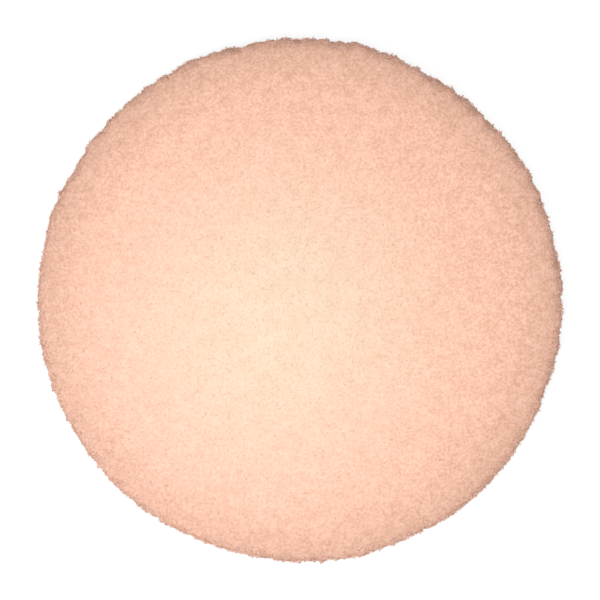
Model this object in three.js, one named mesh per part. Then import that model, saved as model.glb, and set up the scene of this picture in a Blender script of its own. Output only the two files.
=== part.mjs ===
// A round floor polishing pad: one thick disc stamped out of a lofty, open fibre web.
// Millimetres, +Z up. The origin is the centre of the lower face, which works on the floor.
// The pad is solid right through, and its upper face is the one a machine's pad holder grips.

import * as THREE from 'three';
import { ImprovedNoise } from 'three/addons/math/ImprovedNoise.js';

// Overall size
const PAD_DIAMETER = 508;
const PAD_THICKNESS = 25;

// Section near the edge: each face falls away a little over the crown, and over the last of it rounds
// down into the cut edge as well
const CROWN_WIDTH = 50;
const CROWN_DROP = 3;
const EDGE_WIDTH = 15;
const EDGE_SQUARENESS = 2.2;

// The stamped disc is slightly longer one way than across it
const OUT_OF_ROUND = 1;
const LONG_DIAMETER_ANGLE = THREE.MathUtils.degToRad(-32);

// The cut edge wanders, stands out in tufts and frays, each with its usual length along the edge and its depth
const WANDER = { length: 70, depth: 2.2 };
const TUFTS = { length: 9, depth: 3.6 };
const FRAY = { length: 4.4, depth: 2.6 };

// The edge is most ragged on one side and calmest opposite to it
const ROUGHEST_ANGLE = THREE.MathUtils.degToRad(85);
const CALMEST_SHARE = 0.5;

// Picks one of the endless ragged edges that a pad could have
const EDGE_SEED = 111.37;

// Fineness of the mesh: points in the innermost ring, which double from ring to ring up to the cut edge,
// and how many rings each stretch of the section has
const CENTRE_POINTS = 16;
const FLAT_RINGS = 4;
const CROWN_RINGS = 2;
const EDGE_RINGS = 4;

// Bleached fibre with a peach tint, quite without gloss
const WEB_COLOUR = 0xf8d0b6;
const WEB_ROUGHNESS = 0.96;

const edgeRadius = PAD_DIAMETER / 2;
const flatRadius = edgeRadius - CROWN_WIDTH;
const shoulderRadius = edgeRadius - EDGE_WIDTH;
const halfThickness = PAD_THICKNESS / 2;

const noise = new ImprovedNoise();

// How ragged the edge is in one direction, from CALMEST_SHARE to 1
function raggedness(angle) {
  const towardsRoughest = (1 + Math.cos(angle - ROUGHEST_ANGLE)) / 2;
  return THREE.MathUtils.lerp(CALMEST_SHARE, 1, towardsRoughest);
}

// One irregular wave along the edge, which also changes from the lower face to the upper one
function wave({ length, depth }, angle, height) {
  const x = edgeRadius * Math.cos(angle);
  const y = edgeRadius * Math.sin(angle);
  return depth * noise.noise(x / length, y / length, height / length + EDGE_SEED);
}

// How far the cut edge lies outside the true circle at one angle and height
function edgeOffset(angle, height) {
  const oval = OUT_OF_ROUND * Math.cos(2 * (angle - LONG_DIAMETER_ANGLE));
  const ragged = wave(TUFTS, angle, height) + wave(FRAY, angle, height);
  return oval + wave(WANDER, angle, height) + raggedness(angle) * ragged;
}

// How far the crown lies below the plane of its face, as a parabola from the flat to the widest line
function crownDepth(radius) {
  return CROWN_DROP * ((radius - flatRadius) / CROWN_WIDTH) ** 2;
}

// The rings of one half of the section, from the middle of a face out to the widest line.
// depth is how far a ring lies inside the plane of that face.
function halfSection() {
  const rings = [{ radius: 0, depth: 0, points: 1 }];
  let points = CENTRE_POINTS;

  // The flat middle, where each ring is twice as wide as the last
  for (let ring = 1; ring <= FLAT_RINGS; ring += 1) {
    rings.push({ radius: flatRadius / 2 ** (FLAT_RINGS - ring), depth: 0, points });
    points *= 2;
  }

  // The crown, from the flat to the shoulder
  for (let ring = 1; ring <= CROWN_RINGS; ring += 1) {
    const radius = THREE.MathUtils.lerp(flatRadius, shoulderRadius, ring / CROWN_RINGS);
    rings.push({ radius, depth: crownDepth(radius), points });
    points *= 2;
  }

  // The rounded edge, where a quarter of a squarish oval comes on top of the crown's fall,
  // with as many points as the shoulder has
  const edgePoints = points / 2;
  const edgeDepth = halfThickness - CROWN_DROP;
  for (let ring = 1; ring <= EDGE_RINGS; ring += 1) {
    const turn = (Math.PI / 2) * (ring / EDGE_RINGS);
    const out = Math.sin(turn) ** (2 / EDGE_SQUARENESS);
    const up = Math.cos(turn) ** (2 / EDGE_SQUARENESS);
    const radius = shoulderRadius + EDGE_WIDTH * out;
    rings.push({ radius, depth: crownDepth(radius) + edgeDepth * (1 - up), points: edgePoints });
  }
  return rings;
}

// Every ring of the section, from the middle of the lower face round the edge to the middle of the upper one
function wholeSection() {
  const half = halfSection();
  const lower = half.map((ring) => ({ ...ring, height: ring.depth }));
  const upper = half.slice(0, -1).map((ring) => ({ ...ring, height: PAD_THICKNESS - ring.depth }));
  return [...lower, ...upper.reverse()];
}

// The points of one ring. The ragged edge fades out over the crown, so the flat middle stays true.
function ringPoints({ radius, height, points }) {
  const share = Math.max(0, radius - flatRadius) / CROWN_WIDTH;
  return Array.from({ length: points }, (_, index) => {
    const angle = (index / points) * 2 * Math.PI;
    const reach = radius + share ** 2 * edgeOffset(angle, height);
    return new THREE.Vector3(reach * Math.cos(angle), reach * Math.sin(angle), height);
  });
}

// Joins two neighbouring rings with triangles that face outwards, whatever number of points each has.
// A ring is { start, points }, its first vertex and how many it has.
function bridge(before, after) {
  const triangles = [];
  const vertex = (ring, index) => ring.start + (index % ring.points);
  const spans = (ring) => (ring.points > 1 ? ring.points : 0);
  let i = 0;
  let j = 0;
  while (i < spans(before) || j < spans(after)) {
    const nextBefore = i < spans(before) ? (i + 1) / before.points : Infinity;
    const nextAfter = j < spans(after) ? (j + 1) / after.points : Infinity;
    if (nextBefore <= nextAfter) {
      triangles.push(vertex(before, i), vertex(before, i + 1), vertex(after, j));
      i += 1;
    } else {
      triangles.push(vertex(before, i), vertex(after, j + 1), vertex(after, j));
      j += 1;
    }
  }
  return triangles;
}

// The closed surface of the pad
function padGeometry() {
  const points = [];
  const rings = wholeSection().map((ring) => {
    const start = points.length;
    points.push(...ringPoints(ring));
    return { start, points: ring.points };
  });
  const triangles = rings.slice(1).flatMap((ring, index) => bridge(rings[index], ring));

  const geometry = new THREE.BufferGeometry().setFromPoints(points);
  geometry.setIndex(triangles);
  geometry.computeVertexNormals();
  return geometry;
}

function webMaterial() {
  return new THREE.MeshStandardMaterial({
    color: WEB_COLOUR,
    roughness: WEB_ROUGHNESS,
    metalness: 0,
  });
}

const pad = new THREE.Mesh(padGeometry(), webMaterial());
pad.name = 'polishing_pad';

const model = new THREE.Group();
model.name = 'floor_polishing_pad';
model.add(pad);

export default model;
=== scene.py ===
"""Looks of a floor polishing pad: one round disc of open fibre web with a ragged, stamped edge.

The frame gives the pad's outer form. On it this script makes the felted core of the web, the curly
fibres that lie on both faces, the fibres and tufts that stand out of the cut edge, and their
finishes. Then it sets the floor, the lamps and the camera. All sizes are in metres.
"""

import logging
import math
from dataclasses import dataclass
from enum import Enum

import bpy
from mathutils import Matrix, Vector


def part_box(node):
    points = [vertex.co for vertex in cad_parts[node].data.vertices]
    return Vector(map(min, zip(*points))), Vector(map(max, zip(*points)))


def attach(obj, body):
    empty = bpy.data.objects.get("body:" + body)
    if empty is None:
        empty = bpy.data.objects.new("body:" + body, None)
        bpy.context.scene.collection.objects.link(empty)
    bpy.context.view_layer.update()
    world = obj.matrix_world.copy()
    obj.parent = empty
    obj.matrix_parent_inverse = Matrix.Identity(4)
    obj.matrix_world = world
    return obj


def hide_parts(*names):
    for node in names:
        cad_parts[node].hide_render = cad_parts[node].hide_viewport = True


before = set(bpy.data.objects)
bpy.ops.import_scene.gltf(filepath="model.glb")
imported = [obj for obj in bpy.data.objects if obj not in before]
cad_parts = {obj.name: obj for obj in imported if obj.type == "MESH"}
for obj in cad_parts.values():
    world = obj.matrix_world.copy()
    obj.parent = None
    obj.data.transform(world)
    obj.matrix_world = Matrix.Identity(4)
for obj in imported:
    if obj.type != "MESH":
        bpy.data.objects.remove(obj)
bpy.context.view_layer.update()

LOG = logging.getLogger("polishing_pad")
MM = 0.001
NODE = "polishing_pad"
BODY = "root"
TINT = "tint"

# Smallest and largest fibre of a layer, as shares of its usual size
SIZE_SPREAD = (0.65, 1.3)

# How far apart in the noise the bends of the first and the last fibre are taken
BEND_SPREAD = 97.0

# Between these steepnesses of the surface the fray of the cut edge fades out
FRAY_FADE = (0.35, 0.85)

Point = tuple[float, float, float]
Span = tuple[float, float]
Colour = tuple[float, float, float]
Value = float | int | tuple | bpy.types.NodeSocket | bpy.types.Material


class Patch(Enum):
    """Stretches of the pad's surface, each as the lowest and highest z of its faces' normals."""

    UPPER_FACE = (0.86, 1.01)
    LOWER_FACE = (-1.01, -0.86)
    CUT_EDGE = (-0.9, 0.9)
    UPRIGHT_WALL = (-0.5, 0.5)


class NodeSketch:
    """Adds and links the nodes of one tree in few words."""

    def __init__(self, tree: bpy.types.NodeTree) -> None:
        """Start on a tree.

        Args:
            tree: the node tree that the nodes go into.
        """
        self.tree = tree

    def add(
        self, kind: str, inputs: dict[str | int, Value] | None = None, **settings: object
    ) -> bpy.types.Node:
        """Add one node.

        Args:
            kind: the node's type, by its class name.
            inputs: a value or an output socket for each input, by the input's name or number.
            settings: the node's own properties.

        Returns:
            The new node.
        """
        node = self.tree.nodes.new(kind)
        for name, value in settings.items():
            setattr(node, name, value)
        for key, value in (inputs or {}).items():
            if isinstance(value, bpy.types.NodeSocket):
                self.tree.links.new(value, node.inputs[key])
            else:
                node.inputs[key].default_value = value
        return node

    def number(self, operation: str, *values: Value) -> bpy.types.NodeSocket:
        """Work out one number.

        Args:
            operation: what the Math node does, such as ADD.
            values: its one, two or three inputs.

        Returns:
            The result's socket.
        """
        return self.add("ShaderNodeMath", dict(enumerate(values)), operation=operation).outputs[0]

    def vector(self, operation: str, *values: Value) -> bpy.types.NodeSocket:
        """Work out one vector.

        Args:
            operation: what the Vector Math node does, such as SUBTRACT.
            values: its inputs.

        Returns:
            The result's socket, or the number's where the operation gives a number.
        """
        node = self.add("ShaderNodeVectorMath", dict(enumerate(values)), operation=operation)
        return node.outputs["Value" if operation in ("LENGTH", "DOT_PRODUCT") else "Vector"]

    def tint(self, blend: str, share: Value, first: Value, second: Value) -> bpy.types.NodeSocket:
        """Blend two colours.

        Args:
            blend: how they blend, such as MIX or MULTIPLY.
            share: how much of the second counts, from 0 to 1.
            first: the first colour.
            second: the second colour.

        Returns:
            The blended colour's socket.
        """
        colours = {"Factor": share, 6: first, 7: second}
        return self.add("ShaderNodeMix", colours, data_type="RGBA", blend_type=blend).outputs[2]

    def ramp(
        self, value: Value, start: float, end: float, low: float, high: float
    ) -> bpy.types.NodeSocket:
        """Ease a number from one range to another.

        Args:
            value: the number.
            start: where the ease starts.
            end: where it ends.
            low: the result up to start.
            high: the result from end on.

        Returns:
            The eased number's socket.
        """
        limits = {"Value": value, "From Min": start, "From Max": end, "To Min": low, "To Max": high}
        node = self.add("ShaderNodeMapRange", limits, interpolation_type="SMOOTHSTEP")
        return node.outputs["Result"]


def opaque(colour: Colour) -> tuple[float, float, float, float]:
    """Give a colour its fourth number, for a socket."""
    return (*colour, 1.0)


@dataclass(frozen=True)
class WebFinish:
    """Bleached, matt fibre web: cream at the pad's heart, partly its own tint and partly a painted hot spot
    of the lamps, peach outwards, and darker at its rim with painted shade.

    The spans are shares of the pad's radius.
    """

    # Cream at the heart: partly the web's own tint, partly a painted hot spot of the lamps
    heart: Colour = (0.75, 0.585, 0.46)
    shoulder: Colour = (0.94, 0.605, 0.493)
    # Darker rim: painted shade where the edge rounds over
    rim: Colour = (0.82, 0.53, 0.43)
    # The heart lies off the middle towards the lamps, where their painted hot spot falls
    heart_place: Point = (-20 * MM, -16 * MM, 0.0)
    heart_span: Span = (0.1, 0.85)
    rim_shade_span: Span = (0.75, 1.0)
    # The darks are faintest at this place, off the heart towards the lamps, and grow outwards: partly a
    # quieter grain, partly painted light
    lamp_side_place: Point = (-38 * MM, -30 * MM, 0.0)
    darks_growth_span: Span = (0.0, 1.05)
    blush: Colour = (1.0, 0.96, 0.93)
    straw: Colour = (1.0, 1.0, 0.985)
    mottle_size: float = 24 * MM
    mottle_share: Span = (1.0, 0.15)
    mottle_span: Span = (0.1, 1.0)
    grain_size: float = 2.5 * MM
    lamp_side_darks: float = 0.34
    grain_contrast: float = 0.19
    fibre_contrast: float = 0.15
    clump_size: float = 11 * MM
    clump_contrast: float = 0.06
    dark_warmth: Colour = (0.85, 1.0, 1.15)
    pore_spacing: float = 7.5 * MM
    pore_radius: float = 2.4 * MM
    # Painted shade in the pores
    pore_shade: Colour = (0.84, 0.82, 0.79)
    weave_size: float = 1.3 * MM
    weave_depth: float = 0.09 * MM
    roughness: float = 0.95
    gloss: float = 0.15
    fuzz: float = 0.08

    def material(
        self, name: str, outer_radius: float, loose_fibre: bool, depth_shade: float = 0.0
    ) -> bpy.types.Material:
        """Make the finish for one kind of piece.

        Args:
            name: the material's name.
            outer_radius: the pad's radius, where the colours end.
            loose_fibre: whether the piece is fibres that each carry a tint of their own.
            depth_shade: painted shade for a piece that lies deeper in the web, as a share darker than the
                finish's own colours. It is full at the far rim and weaker towards the lamps.

        Returns:
            The material.
        """
        material = bpy.data.materials.new(name)
        material.use_nodes = True
        material.node_tree.nodes.clear()
        sketch = NodeSketch(material.node_tree)
        place = sketch.add("ShaderNodeTexCoord").outputs["Object"]
        from_heart = self._distance(sketch, place, self.heart_place)
        from_middle = self._distance(sketch, place, (0.0, 0.0, 0.0))
        colour = self._base_colour(sketch, from_middle, from_heart, outer_radius)
        colour = self._mottled(sketch, place, from_heart, outer_radius, colour)
        colour = self._pored(sketch, place, colour)
        # The darks are fainter towards the lamps: partly a quieter grain at the heart, partly painted light
        from_lamp_side = self._distance(sketch, place, self.lamp_side_place)
        start, end = self._radii(self.darks_growth_span, outer_radius)
        contrast = sketch.ramp(from_lamp_side, start, end, self.lamp_side_darks, 1)
        grain = self._grain(sketch, place, contrast, depth_shade, loose_fibre)
        colour = sketch.tint("MULTIPLY", 1.0, colour, grain)
        shader = sketch.add(
            "ShaderNodeBsdfPrincipled",
            {
                "Base Color": colour,
                "Roughness": self.roughness,
                "Specular IOR Level": self.gloss,
                "Sheen Weight": self.fuzz,
                "Normal": self._weave(sketch, place),
            },
        )
        sketch.add("ShaderNodeOutputMaterial", {"Surface": shader.outputs["BSDF"]})
        return material

    @staticmethod
    def _radii(span: Span, outer_radius: float) -> Span:
        """Turn a span in shares of the pad's radius into one in metres."""
        return span[0] * outer_radius, span[1] * outer_radius

    @staticmethod
    def _distance(
        sketch: NodeSketch, place: bpy.types.NodeSocket, centre: Point
    ) -> bpy.types.NodeSocket:
        """Measure how far a point lies from a centre, across the pad.

        Args:
            sketch: the material's tree.
            place: the point on the piece.
            centre: the centre.

        Returns:
            The distance's socket.
        """
        apart = sketch.vector("SUBTRACT", place, centre)
        return sketch.vector("LENGTH", sketch.vector("MULTIPLY", apart, (1, 1, 0)))

    def _base_colour(
        self,
        sketch: NodeSketch,
        from_middle: bpy.types.NodeSocket,
        from_heart: bpy.types.NodeSocket,
        outer_radius: float,
    ) -> bpy.types.NodeSocket:
        """Cream at the heart, partly the web's own tint and partly a painted hot spot of the lamps, peach
        outwards, and a little darker at the rim with painted shade.

        Args:
            sketch: the material's tree.
            from_middle: how far the point is from the pad's middle, across the pad.
            from_heart: how far it is from the heart.
            outer_radius: the pad's radius.

        Returns:
            The colour's socket.
        """
        # The cream heart is partly a painted hot spot of the lamps; the darker rim is painted shade
        inner = sketch.ramp(from_heart, *self._radii(self.heart_span, outer_radius), 0, 1)
        outer = sketch.ramp(from_middle, *self._radii(self.rim_shade_span, outer_radius), 0, 1)
        colour = sketch.tint("MIX", inner, opaque(self.heart), opaque(self.shoulder))
        return sketch.tint("MIX", outer, colour, opaque(self.rim))

    def _mottled(
        self,
        sketch: NodeSketch,
        place: bpy.types.NodeSocket,
        from_heart: bpy.types.NodeSocket,
        outer_radius: float,
        colour: bpy.types.NodeSocket,
    ) -> bpy.types.NodeSocket:
        """Faint pink and straw clouds, strongest at the heart.

        Args:
            sketch: the material's tree.
            place: the point on the piece.
            from_heart: how far it is from the heart, across the pad.
            outer_radius: the pad's radius.
            colour: the colour so far.

        Returns:
            The clouded colour's socket.
        """
        noise = {"Vector": place, "Scale": 1 / self.mottle_size, "Detail": 2.0}
        cloud = sketch.add("ShaderNodeTexNoise", noise).outputs["Fac"]
        share = sketch.ramp(cloud, 0.35, 0.65, 0, 1)
        clouds = sketch.tint("MIX", share, opaque(self.blush), opaque(self.straw))
        start, end = self._radii(self.mottle_span, outer_radius)
        strength = sketch.ramp(from_heart, start, end, *self.mottle_share)
        return sketch.tint("MULTIPLY", strength, colour, clouds)

    def _pored(
        self, sketch: NodeSketch, place: bpy.types.NodeSocket, colour: bpy.types.NodeSocket
    ) -> bpy.types.NodeSocket:
        """Painted shade in small pores here and there, each of a size of its own.

        Args:
            sketch: the material's tree.
            place: the point on the piece.
            colour: the colour so far.

        Returns:
            The pored colour's socket.
        """
        cells = {"Vector": place, "Scale": 1 / self.pore_spacing}
        cell = sketch.add("ShaderNodeTexVoronoi", cells)
        size = sketch.add("ShaderNodeSeparateColor", {"Color": cell.outputs["Color"]}).outputs["Red"]
        reach = sketch.number("MULTIPLY", size, self.pore_radius / self.pore_spacing)
        limits = {"Value": cell.outputs["Distance"], "From Max": reach, "To Min": 1.0, "To Max": 0.0}
        inside = sketch.add("ShaderNodeMapRange", limits, interpolation_type="SMOOTHSTEP")
        return sketch.tint("MULTIPLY", inside.outputs["Result"], colour, opaque(self.pore_shade))

    def _grain(
        self,
        sketch: NodeSketch,
        place: bpy.types.NodeSocket,
        contrast: bpy.types.NodeSocket,
        depth_shade: float,
        loose_fibre: bool,
    ) -> bpy.types.NodeSocket:
        """Light and dark grain, soft clumps, a tint for each loose fibre and a painted shade, stronger
        towards the far rim and fainter towards the lamps, which is partly painted light.

        Args:
            sketch: the material's tree.
            place: the point on the piece.
            contrast: how strong the darks are there, up to 1. They are weaker towards the lamps' side,
                which is partly painted light.
            depth_shade: the piece's painted shade, as a share darker all over. It is full at the far rim
                and weaker towards the lamps.
            loose_fibre: whether the piece is fibres with tints of their own.

        Returns:
            The colour that the finish's own is multiplied by. Its darks are warm.
        """
        noise = {"Vector": place, "Scale": 1 / self.grain_size, "Detail": 2.0, "Distortion": 0.6}
        grain = sketch.add("ShaderNodeTexNoise", noise).outputs["Fac"]
        # The grain's darks sit on top of the piece's painted shade
        dark = sketch.ramp(grain, 0.3, 0.7, self.grain_contrast + depth_shade, depth_shade)
        noise = {"Vector": place, "Scale": 1 / self.clump_size, "Detail": 1.0}
        clump = sketch.add("ShaderNodeTexNoise", noise).outputs["Fac"]
        dark = sketch.number("ADD", dark, sketch.ramp(clump, 0.3, 0.7, self.clump_contrast, 0))
        if loose_fibre:
            own = sketch.add("ShaderNodeAttribute", attribute_name=TINT).outputs["Fac"]
            dark = sketch.number("MULTIPLY_ADD", own, self.fibre_contrast, dark)
        dark = sketch.number("MULTIPLY", dark, contrast)
        left = [sketch.number("MULTIPLY_ADD", dark, -share, 1.0) for share in self.dark_warmth]
        return sketch.add("ShaderNodeCombineColor", dict(enumerate(left))).outputs[0]

    def _weave(self, sketch: NodeSketch, place: bpy.types.NodeSocket) -> bpy.types.NodeSocket:
        """The finest fibres, as bump.

        Args:
            sketch: the material's tree.
            place: the point on the piece.

        Returns:
            The normal's socket.
        """
        noise = {"Vector": place, "Scale": 1 / self.weave_size, "Detail": 2.0, "Distortion": 1.5}
        fine = sketch.add("ShaderNodeTexNoise", noise).outputs["Fac"]
        bump = {"Height": fine, "Distance": self.weave_depth, "Strength": 1.0}
        return sketch.add("ShaderNodeBump", bump).outputs["Normal"]


class GeometryTree(NodeSketch):
    """A geometry node tree with named inputs, run once on an object and turned into a plain mesh."""

    def __init__(self, name: str, sockets: dict[str, str]) -> None:
        """Start an empty tree.

        Args:
            name: the tree's name.
            sockets: the type of each named input after the geometry.
        """
        super().__init__(bpy.data.node_groups.new(name, "GeometryNodeTree"))
        face = self.tree.interface
        face.new_socket("Geometry", in_out="INPUT", socket_type="NodeSocketGeometry")
        self.identifiers = {
            label: face.new_socket(label, in_out="INPUT", socket_type=kind).identifier
            for label, kind in sockets.items()
        }
        face.new_socket("Geometry", in_out="OUTPUT", socket_type="NodeSocketGeometry")
        self.inputs = self.add("NodeGroupInput").outputs

    def finish(self, geometry: bpy.types.NodeSocket) -> None:
        """End the tree in real, dressed geometry.

        Args:
            geometry: what the tree has made, before its material.
        """
        real = self.add("GeometryNodeRealizeInstances", {"Geometry": geometry}).outputs[0]
        dressed = {"Geometry": real, "Material": self.inputs["Material"]}
        made = self.add("GeometryNodeSetMaterial", dressed).outputs[0]
        self.add("NodeGroupOutput", {"Geometry": made})

    def run(self, carrier: bpy.types.Object, values: dict[str, Value], name: str) -> bpy.types.Object:
        """Run the tree on a copy of an object's mesh.

        Args:
            carrier: the object that the tree starts from. It stays as it is.
            values: a value for each named input.
            name: the new piece's name.

        Returns:
            The piece, a plain mesh.
        """
        piece = bpy.data.objects.new(name, carrier.data.copy())
        modifier = piece.modifiers.new(self.tree.name, "NODES")
        modifier.node_group = self.tree
        for label, value in values.items():
            modifier[self.identifiers[label]] = value
        bpy.context.scene.collection.objects.link(piece)
        return settled(piece)


def settled(piece: bpy.types.Object) -> bpy.types.Object:
    """Turn what an object's modifiers make into its own plain mesh.

    Args:
        piece: the object, with modifiers.

    Returns:
        The same object, with none.
    """
    graph = bpy.context.evaluated_depsgraph_get()
    mesh = bpy.data.meshes.new_from_object(
        piece.evaluated_get(graph), preserve_all_data_layers=True, depsgraph=graph
    )
    mesh.name = piece.name
    piece.modifiers.clear()
    piece.data = mesh
    return piece


def relief_tree() -> GeometryTree:
    """Build the tree that gives the web's surface its lumps and pits, and its cut edge a fray.

    Returns:
        The tree.
    """
    tree = GeometryTree(
        "web_relief",
        {
            "Lump Size": "NodeSocketFloat",
            "Lump Depth": "NodeSocketFloat",
            "Pit Size": "NodeSocketFloat",
            "Pit Depth": "NodeSocketFloat",
            "Fray Size": "NodeSocketFloat",
            "Fray Depth": "NodeSocketFloat",
            "Sink": "NodeSocketFloat",
            "Material": "NodeSocketMaterial",
        },
    )
    given = tree.inputs
    place = tree.add("GeometryNodeInputPosition").outputs[0]
    normal = tree.add("GeometryNodeInputNormal").outputs["Normal"]

    def wave(
        size: bpy.types.NodeSocket, depth: bpy.types.NodeSocket, detail: float
    ) -> bpy.types.NodeSocket:
        """Noise of one size, from minus to plus one depth."""
        noise = {"Vector": place, "Scale": tree.number("DIVIDE", 1.0, size), "Detail": detail}
        height = tree.add("ShaderNodeTexNoise", noise).outputs["Fac"]
        return tree.number("MULTIPLY", tree.number("MULTIPLY_ADD", height, 2.0, -1.0), depth)

    lumps = wave(given["Lump Size"], given["Lump Depth"], 1.0)
    pits = wave(given["Pit Size"], given["Pit Depth"], 0.0)
    height = tree.number("SUBTRACT", tree.number("ADD", lumps, pits), given["Sink"])

    # The fray fades out where the edge rounds over into the faces
    lean = tree.number("ABSOLUTE", tree.add("ShaderNodeSeparateXYZ", {0: normal}).outputs["Z"])
    fray = wave(given["Fray Size"], given["Fray Depth"], 1.0)
    height = tree.number("MULTIPLY_ADD", fray, tree.ramp(lean, *FRAY_FADE, 1, 0), height)
    offset = tree.add("ShaderNodeVectorMath", {0: normal, "Scale": height}, operation="SCALE")
    moved = {"Geometry": given["Geometry"], "Offset": offset.outputs["Vector"]}
    moved = tree.add("GeometryNodeSetPosition", moved).outputs[0]
    grounded = tree.vector("MAXIMUM", place, (-1.0, -1.0, 0.0))
    moved = tree.add("GeometryNodeSetPosition", {"Geometry": moved, "Position": grounded}).outputs[0]
    tree.finish(tree.add("GeometryNodeSetShadeSmooth", {"Geometry": moved}).outputs[0])
    return tree


def fibre_tree() -> GeometryTree:
    """Build the tree that lays curly fibres on a surface.

    Each fibre is a shallow arc. Its ends dive into the web and its middle stands proud. It is spun,
    tilted and bent at random, and no fibre goes below the floor.

    Returns:
        The tree.
    """
    numbers = (
        "Lowest Normal", "Highest Normal", "Density", "Length", "Radius", "Bow", "Rise", "Sink", "Tilt",
        "Bend Size",
    )
    sockets = {label: "NodeSocketFloat" for label in numbers}
    sockets |= {"Bend": "NodeSocketVector", "Segments": "NodeSocketInt"}
    sockets |= {"Seed": "NodeSocketInt", "Material": "NodeSocketMaterial"}
    tree = GeometryTree("fibre_layer", sockets)
    given = tree.inputs

    def random(low: Value, high: Value, seed_step: int) -> bpy.types.NodeSocket:
        """A random number for each point or fibre."""
        seed = tree.number("ADD", given["Seed"], float(seed_step))
        return tree.add("FunctionNodeRandomValue", {2: low, 3: high, "Seed": seed}).outputs[1]

    # Roots of the fibres, on the stretch of surface whose normals fit
    normal = tree.add("GeometryNodeInputNormal").outputs["Normal"]
    level = tree.add("ShaderNodeSeparateXYZ", {0: normal}).outputs["Z"]
    lowest = {0: level, 1: given["Lowest Normal"]}
    above = tree.add("FunctionNodeCompare", lowest, operation="GREATER_THAN").outputs[0]
    highest = {0: level, 1: given["Highest Normal"]}
    below = tree.add("FunctionNodeCompare", highest, operation="LESS_THAN").outputs[0]
    both = tree.add("FunctionNodeBooleanMath", {0: above, 1: below}, operation="AND")
    roots = tree.add(
        "GeometryNodeDistributePointsOnFaces",
        {
            "Mesh": given["Geometry"],
            "Selection": both.outputs[0],
            "Density": given["Density"],
            "Seed": given["Seed"],
        },
    )

    # One arc, from end to end along X
    half = tree.number("MULTIPLY", given["Length"], 0.5)
    back = tree.number("MULTIPLY", half, -1.0)
    low = tree.number("MULTIPLY", given["Sink"], -1.0)
    crest = tree.number("MULTIPLY_ADD", given["Rise"], 2.0, given["Sink"])
    arc = tree.add(
        "GeometryNodeCurveQuadraticBezier",
        {
            "Resolution": given["Segments"],
            "Start": tree.add("ShaderNodeCombineXYZ", {0: back, 2: low}).outputs[0],
            "Middle": tree.add("ShaderNodeCombineXYZ", {1: given["Bow"], 2: crest}).outputs[0],
            "End": tree.add("ShaderNodeCombineXYZ", {0: half, 2: low}).outputs[0],
        },
    ).outputs["Curve"]

    # An arc on each root, spun, tilted and scaled
    lean = tree.number("MULTIPLY", given["Tilt"], -1.0)
    turn = tree.add(
        "ShaderNodeCombineXYZ",
        {0: random(lean, given["Tilt"], 1), 1: random(lean, given["Tilt"], 2), 2: random(0.0, math.tau, 3)},
    ).outputs[0]
    turn = tree.add("FunctionNodeEulerToRotation", {0: turn}).outputs[0]
    turned = {"Rotation": roots.outputs["Rotation"], "Rotate By": turn}
    turned = tree.add("FunctionNodeRotateRotation", turned, rotation_space="LOCAL").outputs[0]
    laid = tree.add(
        "GeometryNodeInstanceOnPoints",
        {
            "Points": roots.outputs["Points"],
            "Instance": arc,
            "Rotation": turned,
            "Scale": random(*SIZE_SPREAD, 4),
        },
    ).outputs[0]
    laid = tree.add(
        "GeometryNodeStoreNamedAttribute",
        {"Geometry": laid, "Name": TINT, "Value": random(0.0, 1.0, 5)},
        data_type="FLOAT",
        domain="INSTANCE",
    ).outputs[0]
    laid = tree.add("GeometryNodeRealizeInstances", {"Geometry": laid}).outputs[0]

    # Each fibre bent in a way of its own, then held above the floor
    place = tree.add("GeometryNodeInputPosition").outputs[0]
    own = tree.add("GeometryNodeInputNamedAttribute", {"Name": TINT}, data_type="FLOAT")
    own = own.outputs["Attribute"]
    noise = {
        "Vector": place,
        "W": tree.number("MULTIPLY", own, BEND_SPREAD),
        "Scale": tree.number("DIVIDE", 1.0, given["Bend Size"]),
        "Detail": 1.0,
    }
    bend = tree.add("ShaderNodeTexNoise", noise, noise_dimensions="4D").outputs["Color"]
    bend = tree.vector("MULTIPLY_ADD", bend, (2.0, 2.0, 2.0), (-1.0, -1.0, -1.0))
    bend = tree.vector("MULTIPLY", bend, given["Bend"])
    laid = tree.add("GeometryNodeSetPosition", {"Geometry": laid, "Offset": bend}).outputs[0]
    ground = tree.add("ShaderNodeCombineXYZ", {0: -1.0, 1: -1.0, 2: given["Radius"]}).outputs[0]
    grounded = tree.vector("MAXIMUM", place, ground)
    laid = tree.add("GeometryNodeSetPosition", {"Geometry": laid, "Position": grounded}).outputs[0]

    # Three-sided fibres that thin out towards their ends
    along = tree.add("GeometryNodeSplineParameter").outputs["Factor"]
    swell = tree.number("SINE", tree.number("MULTIPLY", along, math.pi))
    swell = tree.number("MULTIPLY_ADD", swell, 0.5, 0.5)
    ring = tree.add("GeometryNodeCurvePrimitiveCircle", {"Resolution": 3, "Radius": given["Radius"]})
    tube = {"Curve": laid, "Profile Curve": ring.outputs["Curve"], "Scale": swell, "Fill Caps": True}
    fibres = tree.add("GeometryNodeCurveToMesh", tube).outputs[0]
    tree.finish(tree.add("GeometryNodeSetShadeSmooth", {"Geometry": fibres}).outputs[0])
    return tree


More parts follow.
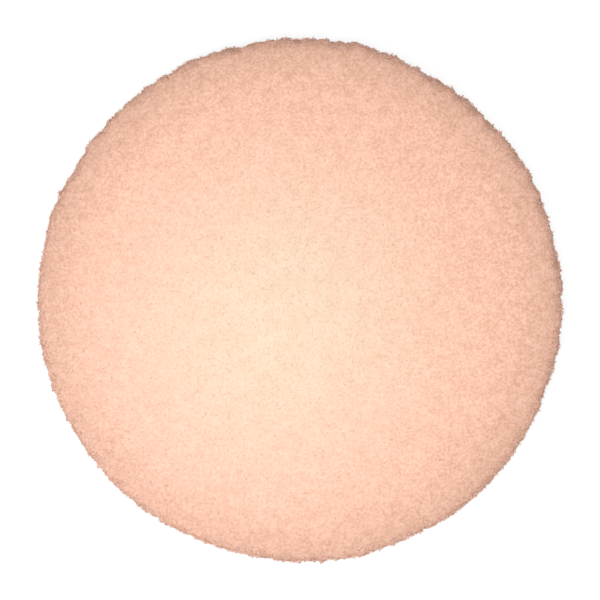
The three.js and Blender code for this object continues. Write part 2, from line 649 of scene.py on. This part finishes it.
@dataclass
class WebCore:
    """The felted core of the web: the pad's outer form with lumps, pits and a frayed cut edge."""

    cell: float = 2.2 * MM
    lump_size: float = 16 * MM
    lump_depth: float = 0.35 * MM
    pit_size: float = 5 * MM
    pit_depth: float = 0.35 * MM
    fray_size: float = 4.5 * MM
    fray_depth: float = 1.5 * MM
    sink: float = 0.5 * MM

    def build(self, form: bpy.types.Object, material: bpy.types.Material) -> bpy.types.Object:
        """Make the core from the pad's outer form.

        Args:
            form: the frame's own solid of the pad. It stays as it is.
            material: the core's finish.

        Returns:
            The core, a plain mesh.
        """
        blank = bpy.data.objects.new("pad_blank", form.data.copy())
        bpy.context.scene.collection.objects.link(blank)
        weld = blank.modifiers.new("weld", "WELD")
        weld.merge_threshold = 0.01 * MM
        even = blank.modifiers.new("even", "REMESH")
        even.mode = "VOXEL"
        even.voxel_size = self.cell
        settled(blank)
        blank.data.materials.clear()
        core = relief_tree().run(
            blank,
            {
                "Lump Size": self.lump_size,
                "Lump Depth": self.lump_depth,
                "Pit Size": self.pit_size,
                "Pit Depth": self.pit_depth,
                "Fray Size": self.fray_size,
                "Fray Depth": self.fray_depth,
                "Sink": self.sink,
                "Material": material,
            },
            "web_core",
        )
        bpy.data.objects.remove(blank)
        return core


@dataclass
class FibreLayer:
    """Loose, curly fibres or stout tufts on one stretch of the pad's surface."""

    name: str
    patch: Patch
    fibres: int
    seed: int
    segments: int = 3
    length: float = 4.8 * MM
    radius: float = 0.27 * MM
    bow: float = 1.8 * MM
    rise: float = 0.12 * MM
    sink: float = 0.6 * MM
    tilt: float = math.radians(3)
    bend: Point = (1.5 * MM, 1.5 * MM, 0.3 * MM)
    bend_size: float = 3.2 * MM

    def build(
        self, tree: GeometryTree, core: bpy.types.Object, material: bpy.types.Material
    ) -> bpy.types.Object:
        """Lay the fibres.

        Args:
            tree: the tree that lays fibres.
            core: the web's core, which carries them.
            material: the fibres' finish.

        Returns:
            The fibres, one plain mesh.
        """
        lowest, highest = self.patch.value
        area = sum(face.area for face in core.data.polygons if lowest < face.normal.z < highest)
        values = {
            "Lowest Normal": lowest,
            "Highest Normal": highest,
            "Density": self.fibres / area,
            "Length": self.length,
            "Radius": self.radius,
            "Bow": self.bow,
            "Rise": self.rise,
            "Sink": self.sink,
            "Tilt": self.tilt,
            "Bend": self.bend,
            "Bend Size": self.bend_size,
            "Segments": self.segments,
            "Seed": self.seed,
            "Material": material,
        }
        return tree.run(core, values, self.name)


@dataclass
class PolishingPad:
    """The whole pad: its core and its layers of loose fibre."""

    form: bpy.types.Object
    finish: WebFinish
    outer_radius: float

    def build(self) -> list[bpy.types.Object]:
        """Make and dress every piece of the pad.

        Returns:
            The pieces, the core first.
        """
        # The core lies deeper than the loose fibres, so it gets painted shade
        core_look = self.finish.material("felted_core", self.outer_radius, False, depth_shade=0.25)
        fibre_look = self.finish.material("loose_fibre", self.outer_radius, True)
        core = WebCore().build(self.form, core_look)
        tree = fibre_tree()
        return [core, *(layer.build(tree, core, fibre_look) for layer in self.layers())]

    @staticmethod
    def layers() -> list[FibreLayer]:
        """List the layers of loose fibre: both faces, then the cut edge with its tufts."""
        return [
            FibreLayer("upper_fibres_a", Patch.UPPER_FACE, fibres=9700, seed=11),
            FibreLayer("upper_fibres_b", Patch.UPPER_FACE, fibres=9700, seed=23, length=5.6 * MM),
            FibreLayer("upper_fibres_c", Patch.UPPER_FACE, fibres=9700, seed=29, length=4.2 * MM),
            FibreLayer("lower_fibres", Patch.LOWER_FACE, fibres=4000, seed=37, length=7 * MM),
            FibreLayer(
                "edge_fibres",
                Patch.CUT_EDGE,
                fibres=5900,
                seed=51,
                length=4.8 * MM,
                radius=0.36 * MM,
                rise=0.45 * MM,
                tilt=math.radians(45),
                bend=(1.4 * MM, 1.4 * MM, 1.1 * MM),
            ),
            FibreLayer(
                "edge_tufts",
                Patch.UPRIGHT_WALL,
                fibres=800,
                seed=67,
                length=5.4 * MM,
                radius=0.85 * MM,
                bow=0.8 * MM,
                rise=0.3 * MM,
                tilt=math.radians(75),
                bend=(0.9 * MM, 0.9 * MM, 0.9 * MM),
            ),
        ]


@dataclass
class Studio:
    """A plain pale floor, soft light from above and a camera that looks straight down on the pad."""

    floor_size: float = 8.0
    floor_drop: float = 0.2 * MM
    floor_glow: float = 0.82
    floor_glow_span: Span = (0.25, 0.55)
    floor_seen: Colour = (0.18, 0.18, 0.18)
    floor_pale: Colour = (0.85, 0.85, 0.85)
    sky_light: float = 0.56
    overhead: Point = (0.035, -0.02, 0.82)
    overhead_size: float = 0.45
    overhead_watts: float = 4.15
    key: Point = (-1.35, -1.35, 2.1)
    key_size: float = 1.0
    key_watts: float = 43.0
    lens: float = 85.0
    sensor: float = 36.0
    view_width: float = 583.0 * MM

    def build(self, middle: Vector) -> bpy.types.Object:
        """Set the studio.

        Args:
            middle: the middle of the pad, which the camera looks at.

        Returns:
            The floor.
        """
        self._light(middle)
        self._camera(middle)
        view = bpy.context.scene.view_settings
        view.view_transform = "Standard"
        return self._floor()

    @staticmethod
    def _seen_directly(sketch: NodeSketch) -> bpy.types.NodeSocket:
        """Give 1 for what the camera sees, directly or in a mirror or through glass, and 0 for light."""
        path = sketch.add("ShaderNodeLightPath").outputs
        mirrored = sketch.number("ADD", path["Is Glossy Ray"], path["Is Transmission Ray"])
        seen = sketch.number("ADD", path["Is Camera Ray"], mirrored)
        return sketch.number("MINIMUM", seen, 1.0)

    def _floor(self) -> bpy.types.Object:
        """Lay the floor. It looks white, and keeps a faint shadow of the pad."""
        half = self.floor_size / 2
        mesh = bpy.data.meshes.new("floor")
        sides = ((-1, -1), (1, -1), (1, 1), (-1, 1))
        corners = [(x * half, y * half, -self.floor_drop) for x, y in sides]
        mesh.from_pydata(corners, [], [(0, 1, 2, 3)])
        floor = bpy.data.objects.new("floor", mesh)
        bpy.context.scene.collection.objects.link(floor)
        material = bpy.data.materials.new("pale_floor")
        material.use_nodes = True
        material.node_tree.nodes.clear()
        sketch = NodeSketch(material.node_tree)
        pale = sketch.add("ShaderNodeBsdfDiffuse", {"Color": opaque(self.floor_pale)}).outputs[0]
        shaded = sketch.add("ShaderNodeBsdfDiffuse", {"Color": opaque(self.floor_seen)}).outputs[0]
        distance = sketch.vector("LENGTH", sketch.add("ShaderNodeTexCoord").outputs["Object"])
        strength = sketch.ramp(distance, *self.floor_glow_span, self.floor_glow, 1.0)
        glow = sketch.add("ShaderNodeEmission", {"Strength": strength}).outputs[0]
        seen = sketch.add("ShaderNodeAddShader", {0: shaded, 1: glow}).outputs[0]
        surface = sketch.add("ShaderNodeMixShader", {0: self._seen_directly(sketch), 1: pale, 2: seen})
        sketch.add("ShaderNodeOutputMaterial", {"Surface": surface.outputs[0]})
        mesh.materials.append(material)
        return floor

    @staticmethod
    def _soft_box(name: str, place: Point, size: float, watts: float, target: Vector) -> None:
        """Hang one round soft box, out of the camera's sight.

        Args:
            name: its name.
            place: where it hangs.
            size: its diameter.
            watts: its power.
            target: the point that it faces.
        """
        lamp = bpy.data.lights.new(name, "AREA")
        lamp.shape = "DISK"
        lamp.size = size
        lamp.energy = watts
        box = bpy.data.objects.new(name, lamp)
        box.location = place
        box.rotation_euler = (target - Vector(place)).to_track_quat("-Z", "Y").to_euler()
        box.visible_camera = False
        bpy.context.scene.collection.objects.link(box)

    def _light(self, middle: Vector) -> None:
        """Light the pad: a soft box above it, one from the lower left, and even light from all round.

        Args:
            middle: the middle of the pad.
        """
        self._soft_box("overhead_box", self.overhead, self.overhead_size, self.overhead_watts, middle)
        self._soft_box("key_box", self.key, self.key_size, self.key_watts, middle)
        world = bpy.data.worlds.new("even_light")
        world.use_nodes = True
        world.node_tree.nodes.clear()
        sketch = NodeSketch(world.node_tree)
        seen = self._seen_directly(sketch)
        strength = sketch.number("MULTIPLY_ADD", seen, 1.0 - self.sky_light, self.sky_light)
        white = {"Color": opaque((1.0, 1.0, 1.0)), "Strength": strength}
        sky = sketch.add("ShaderNodeBackground", white)
        sketch.add("ShaderNodeOutputWorld", {"Surface": sky.outputs[0]})
        bpy.context.scene.world = world

    def _camera(self, middle: Vector) -> None:
        """Hang the camera over the pad, so far up that the view is as wide as it should be.

        Args:
            middle: the middle of the pad.
        """
        data = bpy.data.cameras.new("overhead")
        data.lens = self.lens
        data.sensor_width = self.sensor
        camera = bpy.data.objects.new("overhead", data)
        camera.location = middle + Vector((0.0, 0.0, self.view_width * self.lens / self.sensor))
        bpy.context.scene.collection.objects.link(camera)
        bpy.context.scene.camera = camera


def main() -> None:
    """Build the pad, hand its pieces to the frame and set the studio round it."""
    logging.basicConfig(level=logging.INFO, format="%(message)s")
    low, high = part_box(NODE)
    middle = Vector((0.0, 0.0, (low.z + high.z) / 2))
    outer_radius = (high.x - low.x + high.y - low.y) / 4
    pad = PolishingPad(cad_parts[NODE], WebFinish(), outer_radius)
    pieces = pad.build()
    for piece in pieces:
        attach(piece, BODY)
        piece.data.calc_loop_triangles()
        LOG.info("%s: %d triangles", piece.name, len(piece.data.loop_triangles))
    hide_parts(NODE)
    Studio().build(middle)


if __name__ == "__main__":
    main()
